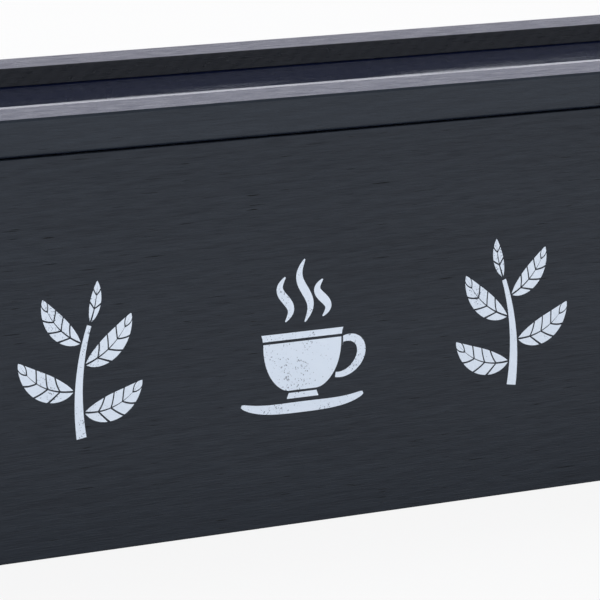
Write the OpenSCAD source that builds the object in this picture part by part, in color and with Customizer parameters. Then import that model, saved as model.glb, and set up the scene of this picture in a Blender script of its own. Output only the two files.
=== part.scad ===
// Tea bag organizer box: one long row of compartments in a box of black-stained
// boards, under a mitred lid frame that holds a clear pane and turns on two small
// butt hinges. The frame has X along the row, Y from front to back and Z up, with
// its origin at the middle of the underside.

/* [Box] */
// Outside length of the box
box_length = 430; // [340:5:520]
// Outside depth, from the front face to the back face
box_depth = 90; // [80:1:120]
// Height of the closed box, lid included
box_height = 90; // [75:1:120]
// Thickness of the front, back and side boards
wall = 9; // [8:0.5:12]
// Thickness of the bottom board
bottom_thickness = 3; // [2:0.5:5]
// Depth of the rabbets that join the boards
rabbet = 4.5; // [3:0.5:5]
// Play of the bottom board in its rabbet
bottom_play = 0.2; // [0.1:0.05:0.4]
// Radius of the sanded outside edges
edge_round = 0.4; // [0.2:0.1:0.8]
// Radius of the edges that are only broken: the rim and the inside of the rails
fine_round = 0.2; // [0.1:0.05:0.4]

/* [Compartments] */
// Number of compartments in the row
compartments = 6; // [3:1:8]
// Thickness of a divider
divider_thickness = 3; // [2:0.5:4]
// Depth of the grooves that hold the dividers
divider_groove = 2.5; // [1.5:0.5:3]
// Play of a divider in its grooves
divider_play = 0.1; // [0.05:0.05:0.2]
// Drop from the rim down to the top of a divider
divider_drop = 8; // [4:1:20]

/* [Lid frame] */
// Thickness of the lid rails
lid_thickness = 7.6; // [7.2:0.2:10]
// Width of the lid rails
rail_width = 15.8; // [14:0.1:20]
// Gap between the lid and the rim
seam = 0.3; // [0.2:0.05:0.5]
// Radius of the lid's lower outside edge, which shades the seam
lid_foot_round = 0.9; // [0.3:0.1:1.2]
// Leg of the flat that breaks the lid's upper outside edge
lid_arris = 0.5; // [0.2:0.1:1]
// Thickness of the pane
pane_thickness = 2; // [1.5:0.25:2.5]
// Drop from the top of the rails down to the pane's groove
pane_drop = 3.95; // [3:0.05:4.2]
// Depth of the pane's groove in the rails
pane_groove = 5; // [3:0.5:5.5]
// Play above the pane in its groove
pane_play = 0.25; // [0.05:0.05:0.3]
// Room round the pane's edges for the wood to move
pane_edge_gap = 0.5; // [0.2:0.1:0.8]

/* [Hinges] */
// Distance from the end of the box to a hinge
hinge_end = 57.5; // [30:0.5:90]
// Length of a hinge
hinge_length = 25; // [22:0.5:35]
// Thickness of a hinge leaf
leaf_thickness = 0.7; // [0.6:0.05:0.8]
// Reach of a leaf from the pin's axis
leaf_reach = 6.2; // [6:0.1:6.5]
// Length of the gap between two knuckles
knuckle_gap = 0.2; // [0.1:0.05:0.3]
// Radius of the pin
pin_radius = 0.7; // [0.6:0.05:0.8]
// Radial play of the pin in the knuckles
pin_play = 0.05; // [0.03:0.01:0.08]
// Distance of the pin's axis from the back face
pin_inset = 2; // [1.8:0.1:2.4]
// Radial clearance round the knuckles in the wood and in the other leaf
knuckle_play = 0.3; // [0.2:0.05:0.4]
// Play round a leaf in its mortise
mortise_play = 0.15; // [0.1:0.05:0.3]
// Angle at which the bevelled back edges meet and stop the lid
stop_angle = 102; // [98:1:110]

/* [Screws] */
// Distance of a screw from the middle of its hinge
screw_spread = 8; // [6:0.5:9]
// Distance of the screws from the pin's axis
screw_setback = 3.9; // [3.8:0.1:4]
// Radius of a screw's head
screw_head_radius = 1.6; // [1.4:0.1:1.8]
// Radius of a screw's shank
screw_radius = 0.8; // [0.6:0.1:0.9]
// Length of the screws in the back board
box_screw_length = 8; // [6:0.5:10]
// Length of the screws in the lid rail
lid_screw_length = 5; // [4:0.5:5.5]
// Clearance round a screw in the leaf and in the wood
screw_play = 0.05; // [0.03:0.01:0.1]
// Width of the cross recess in a screw's head
recess_width = 0.4; // [0.3:0.05:0.5]
// Length of each arm pair of the cross recess
recess_length = 1.8; // [1.2:0.1:2]
// Depth of the cross recess
recess_depth = 0.4; // [0.3:0.05:0.5]

/* [Hidden] */
$fn = 64;
// How far a cutting tool runs past the faces that it cuts
past = 1;
// Number of knuckles on a hinge: the outer two on the box leaf, the middle one on the lid leaf
knuckles = 3;
box_knuckles = [0, 2];
lid_knuckles = [1];

half_length = box_length / 2;
half_depth = box_depth / 2;
rim = box_height - lid_thickness - seam;
lid_bottom = rim + seam;
inner_length = box_length - 2 * wall;
inner_depth = box_depth - 2 * wall;
side_length = box_depth - 2 * (wall - rabbet);
compartment_pitch = (inner_length + divider_thickness) / compartments;
divider_slot = divider_thickness + 2 * divider_play;
pane_inset = rail_width - pane_groove + pane_edge_gap;
groove_bottom = lid_thickness - pane_drop - pane_thickness - pane_play;
pin_y = half_depth - pin_inset;
pin_z = rim + seam / 2;
hinge_x = half_length - hinge_end - hinge_length / 2;
knuckle_pitch = hinge_length / knuckles;
// A knuckle is the end of the leaf rolled round the pin
knuckle_radius = pin_radius + pin_play + leaf_thickness;
pocket_radius = knuckle_radius + knuckle_play;

stain = "#24252b";
nickel = "#a9abae";
clear = [0.6, 0.7, 0.75, 0.35];

// What sanding takes off a square corner whose point is at the origin
module corner_waste(radius) {
    difference() {
        translate([-past, -past]) square(past + radius);
        translate([radius, radius]) circle(radius);
    }
}

// Rectangle from the origin; radii go anticlockwise from the lower left, 0 for a square corner
module eased_rectangle(size, radii) {
    places = [[0, 0], [size.x, 0], size, [0, size.y]];
    difference() {
        square(size);
        for (corner = [0 : 3])
            if (radii[corner] > 0)
                translate(places[corner]) rotate(90 * corner) corner_waste(radii[corner]);
    }
}

// Block over the whole plan of the box, with its front and side views as children
module block_of_views(height) {
    intersection() {
        translate([-half_length, -half_depth, 0]) linear_extrude(height)
            eased_rectangle([box_length, box_depth], [for (corner = [0 : 3]) edge_round]);
        translate([-half_length, half_depth, 0])
            rotate([90, 0, 0]) linear_extrude(box_depth) children(0);
        translate([-half_length, -half_depth, 0])
            rotate([90, 0, 90]) linear_extrude(box_length) children(1);
    }
}

// Front or side view of the box under its rim
module box_view(length) {
    eased_rectangle([length, rim], [edge_round, edge_round, fine_round, fine_round]);
}

// Front or side view of the lid: round at its foot, with a flat along its upper edges
module lid_view(length) {
    difference() {
        eased_rectangle([length, lid_thickness], [lid_foot_round, lid_foot_round, 0, 0]);
        for (x = [0, length])
            translate([x, lid_thickness]) rotate(45) square(lid_arris * sqrt(2), center = true);
    }
}

module sanded_box() {
    block_of_views(rim) {
        box_view(box_length);
        box_view(box_depth);
    }
}

module sanded_lid() {
    block_of_views(lid_thickness) {
        lid_view(box_length);
        lid_view(box_depth);
    }
}

// Carries a profile, drawn as distance behind the front face and height, along the length
module along_front(length) {
    translate([-length / 2, -half_depth, 0]) rotate([90, 0, 90]) linear_extrude(length) children();
}

// Carries a profile, drawn as distance inside the left face and height, from front to back
module along_left(length) {
    translate([-half_length, length / 2, 0]) rotate([90, 0, 0]) linear_extrude(length) children();
}

// Profile of a wall board: eased inside at the rim, with the bottom board's rabbet
module wall_profile() {
    difference() {
        eased_rectangle([wall, rim], [0, 0, fine_round, 0]);
        translate([wall - rabbet, -past]) square([rabbet + past, bottom_thickness + past]);
    }
}

// Wedge about the pin's axis that bevels the back edges of the box and the lid
module stop_wedge() {
    reach = pin_inset + past;
    rise = reach * tan(stop_angle / 2);
    translate([-half_length - past, pin_y, pin_z]) rotate([90, 0, 90])
        linear_extrude(box_length + 2 * past) polygon([[0, 0], [reach, -rise], [reach, rise]]);
}

// Rod of a given length on the pin's axis, starting at x
module on_pin_axis(x, radius, length) {
    translate([x, pin_y, pin_z]) rotate([0, 90, 0]) cylinder(r = radius, h = length);
}

// Room for the knuckles of both hinges
module knuckle_pockets() {
    for (side = [-1, 1])
        on_pin_axis(side * hinge_x - hinge_length / 2 - mortise_play, pocket_radius,
            hinge_length + 2 * mortise_play);
}

// Room for both leaves on one side of the seam; face is the level of the wood's face
module leaf_mortises(face, up) {
    for (side = [-1, 1])
        translate([side * hinge_x - hinge_length / 2 - mortise_play, pin_y - leaf_reach - mortise_play,
                face - (up ? past : leaf_thickness)])
            cube([hinge_length + 2 * mortise_play, leaf_reach + mortise_play, leaf_thickness + past]);
}

// Puts its children at both screws of the hinge at x
module at_screws(x) {
    for (side = [-1, 1]) translate([x + side * screw_spread, pin_y - screw_setback, 0]) children();
}

// Solid of one countersunk screw, head up at the origin, grown by a clearance
module screw_body(length, clearance = 0) {
    head = screw_head_radius + clearance;
    shank = screw_radius + clearance;
    rotate_extrude() polygon([[0, 0], [head, 0], [shank, -leaf_thickness],
        [shank, -length + screw_radius], [0, -length - clearance]]);
}

// Holes for the screws of both hinges, down from the rim or up from the lid's underside
module screw_holes(face, up, length) {
    for (side = [-1, 1])
        at_screws(side * hinge_x) translate([0, 0, face]) mirror([0, 0, up ? 1 : 0])
            screw_body(length, screw_play);
}

// Front board, with rabbets at its ends and grooves for the dividers
module front_panel() {
    color(stain) difference() {
        intersection() {
            along_front(box_length) wall_profile();
            sanded_box();
        }
        for (side = [-1, 1])
            translate([side * half_length, rabbet - half_depth + wall / 2, rim / 2])
                cube([2 * wall, wall, rim + 2 * past], center = true);
        for (i = [1 : compartments - 1])
            translate([divider_x(i) - divider_slot / 2, wall - half_depth - divider_groove, 0])
                cube([divider_slot, divider_groove + past, rim + past]);
    }
}

// Back board: the front board turned round, bevelled and let in for the hinges
module back_panel() {
    color(stain) difference() {
        mirror([0, 1, 0]) front_panel();
        stop_wedge();
        knuckle_pockets();
        leaf_mortises(rim, false);
        screw_holes(rim, false, box_screw_length);
    }
}

// End board that fits into the rabbets of the front and back boards
module side_panel() {
    color(stain) intersection() {
        along_left(side_length) wall_profile();
        sanded_box();
    }
}

// Bottom board, flush with the undersides of the walls
module bottom_panel() {
    inset = wall - rabbet + bottom_play;
    color(stain) translate([inset - half_length, inset - half_depth, 0])
        cube([box_length - 2 * inset, box_depth - 2 * inset, bottom_thickness]);
}

// Middle of divider i, counted from the left
function divider_x(i) = -inner_length / 2 - divider_thickness / 2 + i * compartment_pitch;

// Divider i, standing on the bottom board between its two grooves
module divider(i) {
    width = inner_depth + 2 * (divider_groove - divider_play);
    height = rim - divider_drop - bottom_thickness;
    color(stain) translate([divider_x(i) - divider_thickness / 2, width / 2, bottom_thickness])
        rotate([90, 0, 0]) linear_extrude(width)
            eased_rectangle([divider_thickness, height], [0, 0, edge_round, edge_round]);
}

// Profile of a lid rail: eased inside, with the pane's groove
module rail_profile() {
    difference() {
        eased_rectangle([rail_width, lid_thickness], [0, fine_round, fine_round, 0]);
        translate([rail_width - pane_groove, groove_bottom])
            square([pane_groove + past, pane_thickness + pane_play]);
    }
}

// Lid frame cut to one rail: the profile between its two mitres
module front_rail_blank() {
    translate([0, 0, lid_bottom]) intersection() {
        along_front(box_length) rail_profile();
        sanded_lid();
        linear_extrude(lid_thickness)
            polygon([[-half_length, -half_depth], [half_length, -half_depth],
                [half_length - rail_width, rail_width - half_depth],
                [rail_width - half_length, rail_width - half_depth]]);
    }
}

module lid_front_rail() {
    color(stain) front_rail_blank();
}

// Back rail: bevelled and let in for the hinges
module lid_back_rail() {
    color(stain) difference() {
        mirror([0, 1, 0]) front_rail_blank();
        stop_wedge();
        knuckle_pockets();
        leaf_mortises(lid_bottom, true);
        screw_holes(lid_bottom, true, lid_screw_length);
    }
}

// End rail of the lid, between the mitres of the long rails
module lid_left_rail() {
    color(stain) difference() {
        translate([0, 0, lid_bottom]) intersection() {
            along_left(box_depth) rail_profile();
            sanded_lid();
            linear_extrude(lid_thickness)
                polygon([[-half_length, -half_depth], [rail_width - half_length, rail_width - half_depth],
                    [rail_width - half_length, half_depth - rail_width], [-half_length, half_depth]]);
        }
        stop_wedge();
    }
}

// Clear pane, resting on the lower lips of the rails' grooves
module window_pane() {
    color(clear) translate([pane_inset - half_length, pane_inset - half_depth, lid_bottom + groove_bottom])
        cube([box_length - 2 * pane_inset, box_depth - 2 * pane_inset, pane_thickness]);
}

// Hinge leaf below the pin's axis: a plate, its own rolled knuckles, and room for the others
module hinge_leaf(x, own, others) {
    start = x - hinge_length / 2;
    difference() {
        union() {
            translate([start, pin_y - leaf_reach, rim - leaf_thickness])
                cube([hinge_length, leaf_reach, leaf_thickness]);
            for (k = own)
                on_pin_axis(start + knuckle_gap / 2 + k * knuckle_pitch, knuckle_radius,
                    knuckle_pitch - knuckle_gap);
        }
        for (k = others)
            on_pin_axis(start - knuckle_gap / 2 + k * knuckle_pitch, pocket_radius,
                knuckle_pitch + knuckle_gap);
        on_pin_axis(start - past, pin_radius + pin_play, hinge_length + 2 * past);
        at_screws(x) translate([0, 0, rim]) screw_body(box_screw_length, screw_play);
    }
}

module hinge_box_leaf(x) {
    color(nickel) hinge_leaf(x, box_knuckles, lid_knuckles);
}

// The lid leaf is the box leaf turned over about the pin's axis, with the knuckles swapped
module hinge_lid_leaf(x) {
    color(nickel) translate([0, 0, pin_z]) mirror([0, 0, 1]) translate([0, 0, -pin_z])
        hinge_leaf(x, lid_knuckles, box_knuckles);
}

module hinge_pin(x) {
    color(nickel) on_pin_axis(x - hinge_length / 2, pin_radius, hinge_length);
}

// One countersunk screw with its cross recess, head up at the origin
module screw(length) {
    difference() {
        screw_body(length);
        for (turn = [0, 90])
            rotate(turn) translate([-recess_length / 2, -recess_width / 2, -recess_depth])
                cube([recess_length, recess_width, recess_depth + past]);
    }
}

module hinge_box_screws(x) {
    color(nickel) at_screws(x) translate([0, 0, rim]) screw(box_screw_length);
}

module hinge_lid_screws(x) {
    color(nickel) at_screws(x) translate([0, 0, lid_bottom]) mirror([0, 0, 1]) screw(lid_screw_length);
}

front_panel();
back_panel();
side_panel();  // left_side_panel
mirror([1, 0, 0]) side_panel();  // right_side_panel
bottom_panel();
for (i = [1 : compartments - 1])
    divider(i);
lid_front_rail();
lid_back_rail();
lid_left_rail();
mirror([1, 0, 0]) lid_left_rail();  // lid_right_rail
window_pane();
hinge_box_leaf(-hinge_x);  // left_hinge_box_leaf
hinge_lid_leaf(-hinge_x);  // left_hinge_lid_leaf
hinge_pin(-hinge_x);  // left_hinge_pin
hinge_box_screws(-hinge_x);  // left_hinge_box_screws
hinge_lid_screws(-hinge_x);  // left_hinge_lid_screws
hinge_box_leaf(hinge_x);  // right_hinge_box_leaf
hinge_lid_leaf(hinge_x);  // right_hinge_lid_leaf
hinge_pin(hinge_x);  // right_hinge_pin
hinge_box_screws(hinge_x);  // right_hinge_box_screws
hinge_lid_screws(hinge_x);  // right_hinge_lid_screws
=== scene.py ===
# %% [markdown]
# # A tea box with a glass lid
# A long, low box of black-stained boards for a row of tea bags, closed by a pane in a
# mitred frame. Boards, pane and hinges come from the CAD model and stay as they are.
# This lesson gives each of them its finish, prints a small design on the front, and
# sets up a plain studio with a camera where the photograph was taken from.

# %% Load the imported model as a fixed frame
import math

import bpy
import numpy as np
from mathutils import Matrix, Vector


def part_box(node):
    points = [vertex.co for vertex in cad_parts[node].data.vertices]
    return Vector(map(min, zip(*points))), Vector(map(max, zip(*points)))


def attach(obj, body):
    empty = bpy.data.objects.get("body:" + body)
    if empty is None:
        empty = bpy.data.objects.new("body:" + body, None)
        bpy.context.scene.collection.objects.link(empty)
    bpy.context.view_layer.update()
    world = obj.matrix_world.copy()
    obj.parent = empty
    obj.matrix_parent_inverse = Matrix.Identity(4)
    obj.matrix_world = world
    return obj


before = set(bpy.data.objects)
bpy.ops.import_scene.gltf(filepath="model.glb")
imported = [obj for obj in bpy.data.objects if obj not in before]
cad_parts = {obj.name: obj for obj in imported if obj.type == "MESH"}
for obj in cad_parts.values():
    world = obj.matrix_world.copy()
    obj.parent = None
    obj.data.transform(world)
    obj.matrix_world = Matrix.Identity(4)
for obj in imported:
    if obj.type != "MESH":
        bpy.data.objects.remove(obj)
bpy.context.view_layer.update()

MM = 0.001

# %% [markdown]
# ## The camera
# The long edges of the box run almost level in the picture and meet far off to the
# right: a long lens, almost a metre away, to the left of the box and a little above
# its lid. Another way would be a shifted lens, which keeps uprights upright, but a
# camera that simply tips down frames the box from every other side as well.

# %% Place the camera
CAMERA_PLACE = (-0.5007, -0.8328, 0.2105)
CAMERA_TURN = math.radians(32.42)
CAMERA_TIP = math.radians(9.91)
CAMERA_ROLL = math.radians(0.07)
CAMERA_LENS = 273.9

scene = bpy.context.scene
scene.view_settings.view_transform = "Standard"
camera = bpy.data.objects.new("camera", bpy.data.cameras.new("camera"))
camera.location = CAMERA_PLACE
camera.rotation_euler = (math.pi / 2 - CAMERA_TIP, CAMERA_ROLL, -CAMERA_TURN)
camera.data.lens = CAMERA_LENS
scene.collection.objects.link(camera)
scene.camera = camera

# %% [markdown]
# ## Colours and nodes
# Paint and stain are written as the hex values that a colour picker shows. Blender's
# shaders count in linear light, so one function turns the first into the second.
# Another adds a shader node with its settings and its links in a single call.

# %% Two helpers
def linear(hex_colour):
    """Linear RGBA of an sRGB hex value: each channel goes through the sRGB curve backwards."""
    channels = np.array([int(hex_colour[i:i + 2], 16) / 255 for i in (1, 3, 5)])
    curved = np.where(channels > 0.04045, ((channels + 0.055) / 1.055) ** 2.4, channels / 12.92)
    return (*curved.tolist(), 1.0)


def add(tree, kind, inputs=None, **settings):
    """Adds one node; settings are its own, inputs are values or the sockets that feed it."""
    node = tree.nodes.new("ShaderNode" + kind)
    for name, value in settings.items():
        setattr(node, name, value)
    for name, value in (inputs or {}).items():
        if isinstance(value, bpy.types.NodeSocket):
            tree.links.new(value, node.inputs[name])
        else:
            node.inputs[name].default_value = value
    return node


def new_material(name):
    """An empty node material with its output; returns the material, its tree and the output."""
    material = bpy.data.materials.new(name)
    material.use_nodes = True
    material.node_tree.nodes.clear()
    return material, material.node_tree, add(material.node_tree, "OutputMaterial")


# %% [markdown]
# ## Studio
# The box stands on white paper in a white room, so its satin stain mirrors white all
# round. The world gives that light at a strength of 1, where a colour looks as it is
# written, in the slightly cool white of daylight tubes. It dims towards
# the ceiling, as a room does, and that draws the eased edges of the lid as dark lines.

# %% World
ROOM_WHITE = linear("#f5f6ff")
CEILING = 0.3
CEILING_STARTS = math.sin(math.radians(18))
CEILING_ENDS = math.sin(math.radians(45))

world = bpy.data.worlds.new("white_room")
world.use_nodes = True
tree = world.node_tree
tree.nodes.clear()
direction = add(tree, "SeparateXYZ", {0: add(tree, "TexCoord").outputs["Generated"]})
level = add(tree, "MapRange", {"Value": direction.outputs["Z"], "From Min": CEILING_STARTS,
                               "From Max": CEILING_ENDS, "To Min": 1.0, "To Max": CEILING})
room = add(tree, "Background", {"Color": ROOM_WHITE, "Strength": level.outputs[0]})
add(tree, "OutputWorld", {"Surface": room.outputs[0]})
scene.world = world

# %% [markdown]
# Two large softboxes do the rest. A low one at the front left lights the printed front
# without lighting the paper before it. A high one behind lights the lid and the paper at
# the back, so that the box's own shadow darkens the foot of the front board a little.
# No mirror and no glass shows them, so that from no side does the pane hold a hard white
# square: what shines on the varnish, the glass and the nickel is the white room alone.

# %% Softboxes
SOFTBOX_SIZE = 1.2
SOFTBOXES = {
    "front_softbox": ((-1.2, -1.5, 0.6), 11.0),
    "back_softbox": ((0.3, 0.9, 1.6), 13.0),
}
for name, (place, power) in SOFTBOXES.items():
    light = bpy.data.lights.new(name, "AREA")
    light.size = SOFTBOX_SIZE
    light.energy = power
    lamp = bpy.data.objects.new(name, light)
    lamp.location = place
    flat_distance = math.hypot(place[0], place[1])
    lamp.rotation_euler = (math.atan2(flat_distance, place[2]), 0, math.atan2(place[0], -place[1]))
    lamp.visible_glossy = False
    lamp.visible_transmission = False
    scene.collection.objects.link(lamp)
    print(name, "is", round(math.hypot(flat_distance, place[2]), 2), "m away at", power, "W")

# %% [markdown]
# The floor shows the camera and every mirror its own white, and keeps a share of the
# plain paper, on which the box's shadow falls.

# %% Paper floor
PAPER = linear("#f8f8f8")
SHOWN_WHITE = 0.88
MIRRORED_WHITE = 0.1
FLOOR_REACH = 30.0

paper, tree, output = new_material("white_paper")
path = add(tree, "LightPath")
mirror = add(tree, "Math", {0: path.outputs["Is Glossy Ray"], 1: path.outputs["Is Transmission Ray"]},
             operation="MAXIMUM")
mirrored = add(tree, "Math", {0: mirror.outputs[0], 1: MIRRORED_WHITE}, operation="MULTIPLY")
shown = add(tree, "Math", {0: path.outputs["Is Camera Ray"], 1: SHOWN_WHITE}, operation="MULTIPLY")
white = add(tree, "Math", {0: shown.outputs[0], 1: mirrored.outputs[0]}, operation="MAXIMUM")
plain = add(tree, "BsdfDiffuse", {"Color": PAPER})
glow = add(tree, "Emission", {"Color": (1, 1, 1, 1), "Strength": 1.0})
mixed = add(tree, "MixShader", {0: white.outputs[0], 1: plain.outputs[0], 2: glow.outputs[0]})
tree.links.new(mixed.outputs[0], output.inputs["Surface"])
paper.cycles.emission_sampling = "NONE"

mesh = bpy.data.meshes.new("floor")
corners = FLOOR_REACH * np.array([[-1, -1, 0], [1, -1, 0], [1, 1, 0], [-1, 1, 0]], float)
mesh.from_pydata(corners.tolist(), [], [(0, 1, 2, 3)])
mesh.materials.append(paper)
floor = bpy.data.objects.new("floor", mesh)
scene.collection.objects.link(floor)

# %% [markdown]
# ## Black-stained wood
# The boards are pale, close-grained wood that was sanded, brushed with black water stain
# and given a thin satin varnish. Stain sinks into the open pores and leaves them as short
# dark scratches along the grain. Between them the fibres stand up a few hundredths of a
# millimetre and catch the light as fine streaks, and the varnish has a soft bloom that
# turns lavender grey at a flat angle. A photograph of wood wrapped round each board would
# show seams at the edges. A pattern that fills space needs none: every face cuts it, so a
# scratch on a side is a dot on an end.
#
# Each pattern below is noise, stretched along the grain, with its length, its width and
# its octaves. Real fibres are 0.03 mm wide: too fine for any picture of the whole box, so
# they are drawn ten times as coarse.

# %% Patterns of the grain
GRAIN = {
    "figure": (110.0, 13.0, 2.0),
    "streak": (40.0, 0.8, 3.0),
    "fibre": (5.0, 0.27, 2.0),
    "pore": (8.0, 0.19, 0.0),
}
STAIN = ("#0d1620", "#202831")
WARMER_STAIN = ("#0e141b", "#21242a")
STAIN_IN_PORE = "#06080a"
STREAK_HEIGHT = 0.03
FIBRE_HEIGHT = 0.07
PORE_DEPTH = 0.05
ALONG_Y = (0, 0, math.pi / 2)


def grain_of(tree, turn):
    """Coordinates in millimetres with the grain turned onto X, and the noise of each pattern in them."""
    place = add(tree, "TexCoord")
    board = add(tree, "Mapping", {"Vector": place.outputs["Object"], "Rotation": turn,
                                  "Scale": (1 / MM, 1 / MM, 1 / MM)})
    pattern = {}
    for part, (length, width, octaves) in GRAIN.items():
        cells = add(tree, "Mapping", {"Vector": board.outputs[0],
                                      "Scale": (1 / length, 1 / width, 1 / width)})
        noise = add(tree, "TexNoise", {"Vector": cells.outputs[0], "Scale": 1.0, "Detail": octaves,
                                       "Roughness": 0.6})
        pattern[part] = noise.outputs[0]
    return board.outputs[0], pattern


# %% [markdown]
# The lid's rails are solid wood and not veneer: a little paler, with fewer pores. Growth
# rings run out through a sawn rail at a slant, and show as faint diagonal bands. The back
# rail's stain is a touch warmer, less blue, than that of the other rails.
#
# One sum of the patterns is the tone of the stain. The fibres also set the gloss, because
# a pale, hard fibre is polished by the sanding and a dark, open one is not.

# %% Stained wood
def stained_wood(name, turn=(0, 0, 0), stain=STAIN, paler=0.0, pores=1.0, fuzz=1.0, rings=0.15,
                 slant=6, gloss=0.4, bloom=0.0):
    """Black-stained wood: turn brings the grain onto X, pores is how many of them are open, rings
    and slant are the strength and the angle of the growth rings, bloom is the varnish's haze."""
    material, tree, output = new_material(name)
    board, pattern = grain_of(tree, turn)

    # The tone: the fibres, half of the streaks, less of the figure and a share of the rings.
    slanted = add(tree, "Mapping", {"Vector": board, "Rotation": (0, math.radians(slant), 0)})
    ring = add(tree, "TexWave", {"Vector": slanted.outputs[0], "Scale": 0.12, "Distortion": 5.0,
                                 "Detail": 3.0, "Detail Scale": 0.5}, bands_direction="Z")
    ring_share = add(tree, "Math", {0: ring.outputs[1], 1: rings}, operation="MULTIPLY")
    figured = add(tree, "Math", {0: pattern["figure"], 1: 0.4, 2: ring_share.outputs[0]},
                  operation="MULTIPLY_ADD")
    streaked = add(tree, "Math", {0: pattern["streak"], 1: 0.5, 2: figured.outputs[0]},
                   operation="MULTIPLY_ADD")
    grown = add(tree, "Math", {0: pattern["fibre"], 1: streaked.outputs[0]}, operation="ADD")
    tone = add(tree, "MapRange", {"Value": grown.outputs[0], "From Min": 0.7, "From Max": 1.2 + rings,
                                  "To Min": paler, "To Max": 1 + paler}, clamp=False)
    stained = add(tree, "Mix", {0: tone.outputs[0], 6: linear(stain[0]), 7: linear(stain[1])},
                  data_type="RGBA", clamp_factor=False)

    # Pores: the peaks of their noise, where the figure leaves the wood open.
    fewest = add(tree, "MapRange", {"Value": pattern["figure"], "From Min": 0.3, "From Max": 0.7,
                                    "To Min": 0.87 - 0.06 * pores, "To Max": 0.82 - 0.06 * pores})
    past = add(tree, "Math", {0: pattern["pore"], 1: fewest.outputs[0]}, operation="SUBTRACT")
    pore = add(tree, "MapRange", {"Value": past.outputs[0], "From Min": 0.0, "From Max": 0.04})
    groove = add(tree, "MapRange", {"Value": past.outputs[0], "From Min": 0.0, "From Max": 0.12,
                                    "To Min": 0.0, "To Max": -PORE_DEPTH})
    colour = add(tree, "Mix", {0: pore.outputs[0], 6: stained.outputs[2], 7: linear(STAIN_IN_PORE)},
                 data_type="RGBA")

    # The relief in millimetres, and the varnish over it all.
    raised = add(tree, "Math", {0: pattern["streak"], 1: STREAK_HEIGHT}, operation="MULTIPLY")
    fuzzed = add(tree, "Math", {0: pattern["fibre"], 1: fuzz * FIBRE_HEIGHT, 2: raised.outputs[0]},
                 operation="MULTIPLY_ADD")
    height = add(tree, "Math", {0: groove.outputs[0], 1: fuzzed.outputs[0]}, operation="ADD")
    relief = add(tree, "Bump", {"Height": height.outputs[0], "Strength": 1.0, "Distance": MM})
    satin = add(tree, "MapRange", {"Value": pattern["fibre"], "From Min": 0.25, "From Max": 0.75,
                                   "To Min": gloss + 0.17, "To Max": gloss - 0.17})
    rough = add(tree, "Math", {0: satin.outputs[0], 1: pore.outputs[0]}, operation="MAXIMUM")
    varnish = add(tree, "BsdfPrincipled", {"Base Color": colour.outputs[2], "Roughness": rough.outputs[0],
                                           "IOR": 1.5, "Specular IOR Level": 0.42,
                                           "Sheen Weight": bloom, "Sheen Roughness": 0.3,
                                           "Sheen Tint": linear("#928af4"),
                                           "Normal": relief.outputs[0]})
    tree.links.new(varnish.outputs[0], output.inputs["Surface"])
    return material


board_x = stained_wood("stained_board_along_x")
board_y = stained_wood("stained_board_along_y", turn=ALONG_Y)
front_rail = stained_wood("stained_rail_along_x", paler=0.42, pores=0.6, gloss=0.34, bloom=0.08)
back_rail = stained_wood("stained_rail_slanted", stain=WARMER_STAIN, pores=0.6, fuzz=0.5, rings=0.7,
                         slant=38, gloss=0.35, bloom=0.076)
side_rail = stained_wood("stained_rail_along_y", turn=ALONG_Y, paler=0.42, pores=0.6, gloss=0.34,
                         bloom=0.08)
print(len(bpy.data.materials), "materials so far")

# %% [markdown]
# ## Glass
# The pane is 2 mm float glass. At a flat angle it mirrors more than it shows, and its own
# colour is the faint blue-green of iron in the melt. Clean glass would look like a hole in
# the lid, so it has what a real pane has: streaks where a cloth went along it, which blur
# the mirror a little, and a few grains of dust.

# %% Float glass
SMEAR = (60.0, 11.0, 1.0)
DUST = 0.45
material, tree, output = new_material("float_glass")
place = add(tree, "TexCoord")
pane = add(tree, "Mapping", {"Vector": place.outputs["Object"], "Scale": (1 / MM, 1 / MM, 1 / MM)})
wiped = add(tree, "Mapping", {"Vector": pane.outputs[0], "Rotation": (0, 0, math.radians(7)),
                              "Scale": [1 / size for size in SMEAR]})
smear = add(tree, "TexNoise", {"Vector": wiped.outputs[0], "Scale": 1.0, "Detail": 3.0})
speck = add(tree, "TexNoise", {"Vector": pane.outputs[0], "Scale": 1 / DUST, "Detail": 0.0})
haze = add(tree, "MapRange", {"Value": smear.outputs[0], "From Min": 0.4, "From Max": 0.7,
                              "To Min": 0.0, "To Max": 0.075})
grain = add(tree, "MapRange", {"Value": speck.outputs[0], "From Min": 0.76, "From Max": 0.82})
colour = add(tree, "Mix", {0: grain.outputs[0], 6: linear("#f1f6f8"), 7: linear("#a9aeb6")},
             data_type="RGBA")
clear = add(tree, "MapRange", {"Value": grain.outputs[0], "To Min": 1.0, "To Max": 0.5})
melt = add(tree, "BsdfPrincipled", {"Base Color": colour.outputs[2], "Roughness": haze.outputs[0],
                                    "IOR": 1.52, "Transmission Weight": clear.outputs[0],
                                    "Sheen Weight": 0.06,
                                    "Sheen Roughness": 0.3, "Sheen Tint": linear("#6480e8")})
tree.links.new(melt.outputs[0], output.inputs["Surface"])
glass = material

# %% [markdown]
# ## Metal
# The hinges and screws are stamped steel with a thin nickel plate. Nickel is a warm grey
# beside chrome. Tumbling before the plating leaves a fine tangle of scratches, and hands
# leave duller patches.

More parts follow.
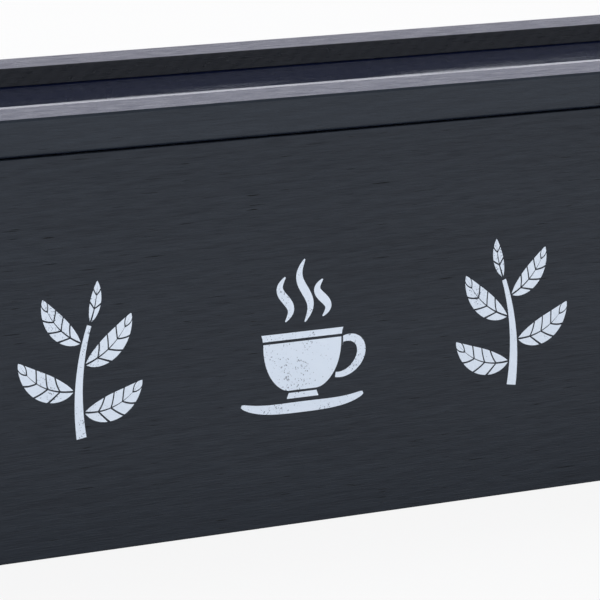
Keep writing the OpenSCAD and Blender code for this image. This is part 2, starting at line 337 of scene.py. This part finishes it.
# %% Nickel plate
SCRATCH = (3.0, 0.12, 0.12)
PATCH = 5.0
SCRATCH_DEPTH = 0.004
material, tree, output = new_material("nickel_plate")
place = add(tree, "TexCoord")
leaf_face = add(tree, "Mapping", {"Vector": place.outputs["Object"], "Scale": (1 / MM, 1 / MM, 1 / MM)})
drawn = add(tree, "Mapping", {"Vector": leaf_face.outputs[0], "Rotation": (0, math.radians(12), 0),
                              "Scale": [1 / size for size in SCRATCH]})
scratch = add(tree, "TexNoise", {"Vector": drawn.outputs[0], "Scale": 1.0, "Detail": 2.0})
patch = add(tree, "TexNoise", {"Vector": leaf_face.outputs[0], "Scale": 1 / PATCH, "Detail": 2.0})
colour = add(tree, "Mix", {0: patch.outputs[0], 6: linear("#cbc6bd"), 7: linear("#b2aca1")},
             data_type="RGBA")
dull = add(tree, "MapRange", {"Value": patch.outputs[0], "From Min": 0.35, "From Max": 0.7,
                              "To Min": 0.2, "To Max": 0.36})
height = add(tree, "Math", {0: scratch.outputs[0], 1: SCRATCH_DEPTH}, operation="MULTIPLY")
relief = add(tree, "Bump", {"Height": height.outputs[0], "Strength": 1.0, "Distance": MM})
plate = add(tree, "BsdfPrincipled", {"Base Color": colour.outputs[2], "Metallic": 1.0,
                                     "Roughness": dull.outputs[0], "Normal": relief.outputs[0]})
tree.links.new(plate.outputs[0], output.inputs["Surface"])
nickel = material

# %% [markdown]
# ## Dressing the CAD pieces
# The pieces of the CAD model keep their shapes, and each gets its finish in its own
# material slots. Long boards have their grain along X, the short ones along Y.

# %% Dress the CAD pieces
FINISH = {"lid_front_rail": front_rail, "lid_back_rail": back_rail, "lid_left_rail": side_rail,
          "lid_right_rail": side_rail, "front_panel": board_x, "back_panel": board_x,
          "bottom_panel": board_x, "window_pane": glass}
for name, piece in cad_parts.items():
    for slot in piece.material_slots:
        slot.material = FINISH.get(name, nickel if "hinge" in name else board_y)
    print(name.ljust(24), [slot.material.name for slot in piece.material_slots])

# %% [markdown]
# ## The printed design
# Three motifs stand in a row on the front, screen-printed in chalky pale ink: a cup on
# its saucer between two sprigs of tea, each a bud and a few leaves. Ink can be faked
# with a mask in the board's material, but its crisp edge would need an image. A stencil
# is closer to how it was made: each opening is a small curved patch, and the ink that
# came through it is a film a twentieth of a millimetre thick.

# %% Patches of a stencil
INK_THICKNESS = 0.05 * MM
INK_SUNK = 0.01 * MM
FRONT_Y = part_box("front_panel")[0].y


def normals_of(line):
    """Unit normals of a plane line of points: its tangent turned a quarter to the left."""
    tangent = np.gradient(line, axis=0)
    turned = np.stack([-tangent[:, 1], tangent[:, 0]], axis=1)
    return turned / np.linalg.norm(turned, axis=1, keepdims=True)


def ribbon(line, half_width, across=7):
    """A stroke: line + s * half_width * normal, with s from -1 to 1 across it."""
    s = np.linspace(-1, 1, across)[None, :, None]
    return line[:, None] + s * np.asarray(half_width)[:, None, None] * normals_of(line)[:, None]


def between(left, right, across=9):
    """A patch that runs straight across from one line of points to another."""
    s = np.linspace(0, 1, across)[None, :, None]
    return (1 - s) * left[:, None] + s * right[:, None]


def bent_line(start, end, bend, count=41):
    """Straight from start to end, plus bend * 4t(1 - t) sideways: an arc with that rise."""
    t = np.linspace(0, 1, count)[:, None]
    start, end = np.array(start, float), np.array(end, float)
    way = end - start
    side = np.array([-way[1], way[0]]) / np.linalg.norm(way)
    return start + t * way + 4 * t * (1 - t) * bend * side


# %% Leaves
VEIN = 0.42
STEM_GAP = 0.45
VEIN_LEAN = 0.13


def leaf(base, tip, bend, width, veins=5):
    """Both halves of a leaf, cut by its side veins. With t from base to tip and s from the
    midrib to the edge, a point is midrib(t') + s * width * 2.16 t'^0.7 (1 - t')^0.85 * normal,
    and t' = t + lean * s makes the side veins run outwards and forwards."""
    midrib = bent_line(base, tip, bend, count=201)
    normal = normals_of(midrib)
    gap = VEIN / np.linalg.norm(np.subtract(tip, base)) / 2
    place = np.linspace(0, 1, len(midrib))
    patches = []
    for side in (-1, 1):
        for k in range(veins):
            t = np.linspace(k / veins + gap * (k > 0), (k + 1) / veins - gap, 13)[:, None]
            s = np.linspace(0, 1, 11)[None, :]
            leaning = np.clip(t + VEIN_LEAN * s * min(k, 1), 0, 1)
            if k == 0:
                leaning = t * (1 + VEIN_LEAN * s * veins)
            middle = VEIN / 2 * (1 - leaning)
            spread = width * 2.16 * leaning ** 0.7 * (1 - leaning) ** 0.85
            out = middle + s * np.maximum(spread - middle, 0)
            centre = np.stack([np.interp(leaning, place, midrib[:, i]) for i in (0, 1)], axis=-1)
            across = np.stack([np.interp(leaning, place, normal[:, i]) for i in (0, 1)], axis=-1)
            patches.append(centre + side * out[..., None] * across)
    return patches


# %% Ink on the board
def print_on_front(name, patches, centre, mirrored=False):
    """Puts patches, drawn in mm across and up, on the front board as one film of ink."""
    points, faces, start = [], [], 0
    for patch in patches:
        rows, columns = patch.shape[:2]
        grid = np.arange(rows * columns).reshape(rows, columns) + start
        quads = np.stack([grid[:-1, :-1], grid[1:, :-1], grid[1:, 1:], grid[:-1, 1:]], axis=-1)
        flat = patch.reshape(-1, 2) * ((-1, 1) if mirrored else (1, 1))
        a, b, c = (flat[quads[..., i] - start] for i in (0, 1, 2))
        area = np.sum((b - a)[..., 0] * (c - a)[..., 1] - (b - a)[..., 1] * (c - a)[..., 0])
        points.append(flat)
        faces.append(quads.reshape(-1, 4)[:, ::1 if area > 0 else -1])
        start += rows * columns
    flat = np.concatenate(points) + centre
    depth = np.full(len(flat), FRONT_Y - INK_THICKNESS)
    place = np.stack([flat[:, 0] * MM, depth, flat[:, 1] * MM], axis=1)
    mesh = bpy.data.meshes.new(name)
    mesh.from_pydata(place.tolist(), [], np.concatenate(faces).tolist())
    mesh.materials.append(ink)
    piece = bpy.data.objects.new(name, mesh)
    scene.collection.objects.link(piece)
    film = piece.modifiers.new("film", "SOLIDIFY")
    film.thickness = INK_THICKNESS + INK_SUNK
    film.offset = -1
    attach(piece, "box")
    size = np.ptp(flat, axis=0)
    print(name, "is", round(size[0], 1), "x", round(size[1], 1), "mm in", len(patches), "patches")


# %% [markdown]
# Screen ink dries chalky and matt. Where the mesh of the screen or an open pore held it
# back, the stain shows as pinholes, in loose swarms.

# %% Screen-print ink
PINHOLE = 0.17
SWARM = 7.0

ink, tree, output = new_material("screen_print_ink")
place = add(tree, "TexCoord")
board = add(tree, "Mapping", {"Vector": place.outputs["Object"], "Scale": (1 / MM, 1 / MM, 1 / MM)})
fine = add(tree, "TexNoise", {"Vector": board.outputs[0], "Scale": 1 / PINHOLE / 2, "Detail": 1.0})
swarm = add(tree, "TexNoise", {"Vector": board.outputs[0], "Scale": 1 / SWARM, "Detail": 2.0})
reach = add(tree, "MapRange", {"Value": swarm.outputs[0], "From Min": 0.42, "From Max": 0.68,
                               "To Min": 0.80, "To Max": 0.63})
hole = add(tree, "Math", {0: fine.outputs[0], 1: reach.outputs[0]}, operation="SUBTRACT")
bare = add(tree, "MapRange", {"Value": hole.outputs[0], "From Min": -0.02, "From Max": 0.08, "To Max": 0.8})
chalk = add(tree, "Mix", {0: swarm.outputs[0], 6: linear("#ecf6ff"), 7: linear("#e2eefa")},
            data_type="RGBA")
colour = add(tree, "Mix", {0: bare.outputs[0], 6: chalk.outputs[2], 7: linear("#4a515e")}, data_type="RGBA")
dent = add(tree, "Math", {0: bare.outputs[0], 1: -1.0}, operation="MULTIPLY")
relief = add(tree, "Bump", {"Height": dent.outputs[0], "Strength": 1.0, "Distance": INK_THICKNESS})
matt = add(tree, "BsdfPrincipled", {"Base Color": colour.outputs[2], "Roughness": 0.7, "IOR": 1.5,
                                    "Specular IOR Level": 0.3, "Normal": relief.outputs[0]})
tree.links.new(matt.outputs[0], output.inputs["Surface"])

# %% [markdown]
# A sprig is a bowed stem that carries a bud, two young leaves and two older ones. Each
# is drawn in millimetres from the foot of its motif, so the stencil could be cut by hand.

# %% Sprig
MOTIF_FOOT = 24.0
MOTIF_SPREAD = 52.5


def sprig():
    """A stem that thins upwards, with leaves set on either side of it and a bud on top."""
    stem = bent_line((-0.5, 0.0), (1.5, 23.0), 1.4, count=101)
    half = np.linspace(1.15, 0.5, len(stem))
    side = normals_of(stem)
    patches = [ribbon(stem, half)]
    patches += leaf(stem[-1] + (0.35, 0.75), stem[-1] + (2.0, 9.0), -0.4, 1.7, veins=3)
    leaves = ((84, 1, (-8.6, 9.6), 1.4, 3.1), (66, -1, (10.6, 9.6), -1.6, 3.4),
              (42, 1, (-12.6, 7.0), 2.0, 3.7), (22, -1, (13.4, 5.4), -2.0, 3.7))
    for height, left, reach, bend, width in leaves:
        base = stem[height] + left * (half[height] + STEM_GAP) * side[height]
        patches += leaf(base, base + reach, bend, width)
    return patches


print_on_front("print_left_sprig", sprig(), (-MOTIF_SPREAD, MOTIF_FOOT))
print_on_front("print_right_sprig", sprig(), (MOTIF_SPREAD, MOTIF_FOOT), mirrored=True)

# %% [markdown]
# The cup is seen from the side. Each side of its bowl is part of a superellipse, with a
# band under the rim and a ring for a foot. The handle swells in the middle and stops
# short of the bowl, as a stencil needs, and three waves of steam taper at both ends.

# %% Cup
def bowl_side(height):
    """Half width of the bowl: 3.6 + 6 * (1 - (1 - h)^2.3)^0.62, with h from 0 at its foot to 1."""
    h = np.clip((height - 4.6) / 10.2, 0, 1)
    return 3.6 + 6.0 * (1 - (1 - h) ** 2.3) ** 0.62


def level_patch(half_width, height):
    """A patch with level rows that reach half_width to either side at each height."""
    return between(np.stack([-half_width, height], 1), np.stack([half_width, height], 1))


def cup():
    """Saucer, foot, bowl, band, handle and steam, each a patch of its own."""
    x = np.linspace(-15, 15, 61)
    dish = np.stack([x, 0.9 + 1.5 * (x / 15) ** 4], 1)
    saucer = ribbon(dish, 0.28 + 0.85 * np.clip(1 - (x / 15) ** 2, 0, 1) ** 0.5)
    t = np.linspace(0, 1, 49)
    foot = level_patch(3.9 - 0.5 * t, 2.9 + 1.2 * t)
    bowl = level_patch(bowl_side(4.6 + 10.2 * t), 4.6 + 10.2 * t)
    band = level_patch(9.75 + 0.35 * t ** 2, 15.4 + 1.4 * t)
    turn = np.radians(118 - 236 * t)
    hold = np.stack([10.2 + 4.4 * np.cos(turn), 10.6 + 3.7 * np.sin(turn) + np.cos(turn)], 1)
    handle = ribbon(hold, 0.55 + 0.5 * np.cos(turn / 1.4) ** 2)
    handle[..., 0] = np.maximum(handle[..., 0], bowl_side(handle[..., 1]) + STEM_GAP)
    steam = []
    for across, low, high in ((-4.2, 19.2, 28.6), (0.6, 18.8, 32.0), (5.0, 19.6, 27.4)):
        wave = np.stack([across + 1.35 * np.sin(2 * np.pi * t), low + (high - low) * t], 1)
        steam.append(ribbon(wave, 0.12 + 0.85 * np.sin(np.pi * t) ** 0.8))
    return [saucer, foot, bowl, band, handle, *steam]


print_on_front("print_cup", cup(), (0.0, MOTIF_FOOT))
